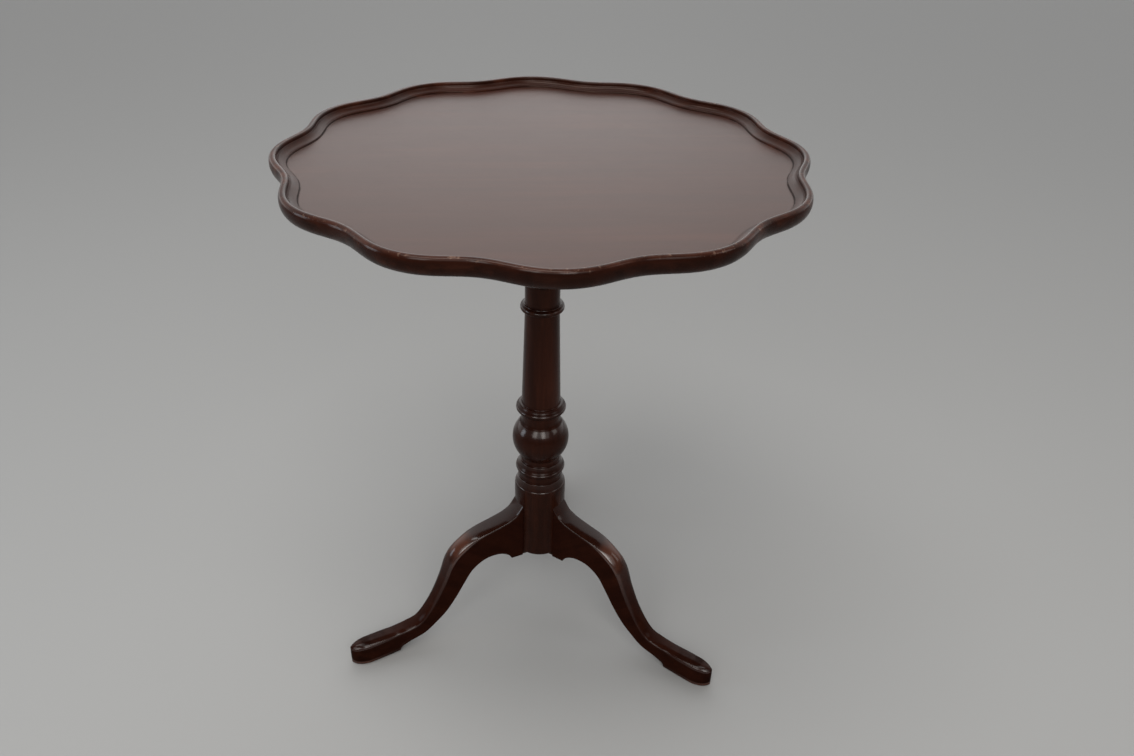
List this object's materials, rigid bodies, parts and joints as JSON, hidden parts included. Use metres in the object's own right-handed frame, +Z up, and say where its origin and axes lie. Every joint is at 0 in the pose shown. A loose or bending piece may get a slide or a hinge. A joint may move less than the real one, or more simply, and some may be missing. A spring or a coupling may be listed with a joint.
{
  "type": "tilt-top tripod wine table",
  "caption": "Tilt-top tripod wine table: dished piecrust top on a block that pivots, turned baluster column and cabriole legs with pad feet.",
  "frame": {"origin": "on the floor, on the column's axis, at the middle of the top's outline", "axes": "+Z up along the column; the top's pivot pins lie along X at the front, which is -Y"},
  "size_m": [0.6094, 0.6094, 0.706],
  "materials": {
    "mahogany_top": "polished dark mahogany, rubbed lighter along the rim",
    "mahogany_column": "polished dark mahogany, turned",
    "mahogany_leg": "polished dark mahogany, carved",
    "mahogany_under": "unpolished secondary wood",
    "brass": "dull, handled",
    "iron": "dark, blackened"
  },
  "bodies": {
    "pedestal": {"column": "mahogany_column", "tenon_wedge": "mahogany_under", "pivot_block": "mahogany_under", "pivot_pin_left": "iron", "pivot_pin_right": "iron", "strike_plate": "brass", "strike_screw_1": "brass", "strike_screw_2": "brass", "leg_left": "mahogany_leg", "leg_right": "mahogany_leg", "leg_rear": "mahogany_leg", "base_plate": "iron", "plate_screw_1": "iron", "plate_screw_2": "iron", "plate_screw_3": "iron"},
    "top": {"table_top": "mahogany_top", "bearer_left": "mahogany_under", "bearer_right": "mahogany_under", "bearer_screw_1": "iron", "bearer_screw_2": "iron", "bearer_screw_3": "iron", "bearer_screw_4": "iron", "bearer_screw_5": "iron", "bearer_screw_6": "iron", "bearer_screw_7": "iron", "bearer_screw_8": "iron", "catch_case": "brass", "catch_screw_1": "brass", "catch_screw_2": "brass", "catch_screw_3": "brass", "catch_screw_4": "brass"},
    "bolt": {"catch_bolt": "brass", "catch_knob": "brass"}
  },
  "joints": [
    {"name": "top_tilt", "type": "hinge", "parent": "pedestal", "child": "top", "pos_m": [0, -0.064, 0.6697], "axis": [1, 0, 0], "range_deg": [0, 90]},
    {"name": "catch_slide", "type": "slide", "parent": "top", "child": "bolt", "axis": [0, -1, 0], "range_m": [0, 0.009]}
  ]
}
